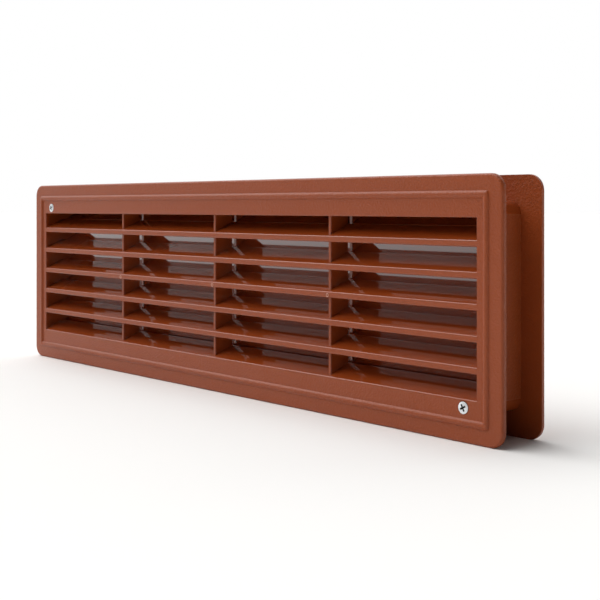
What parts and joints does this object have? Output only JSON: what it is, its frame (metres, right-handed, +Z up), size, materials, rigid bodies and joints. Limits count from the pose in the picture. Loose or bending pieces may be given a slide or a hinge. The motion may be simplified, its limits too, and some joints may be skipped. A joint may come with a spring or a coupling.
{
  "type": "door grille",
  "caption": "Rectangular louvred plastic door grille: front and rear halves with beaded flanges and inclined slats, screwed together through a cut-out in a door leaf to let air pass.",
  "frame": {"origin": "middle of the whole grille, on the plane where the two halves meet", "axes": "+X along the width, to the right seen from the front; +Y from the front face into the door; +Z up"},
  "size_m": [0.45, 0.0352, 0.13],
  "materials": {
    "moulding": "satin, red-brown",
    "screw_zinc": "bright zinc plate"
  },
  "bodies": {
    "root": {"front_grille": "moulding", "rear_grille": "moulding", "screws": "screw_zinc"}
  },
  "joints": []
}
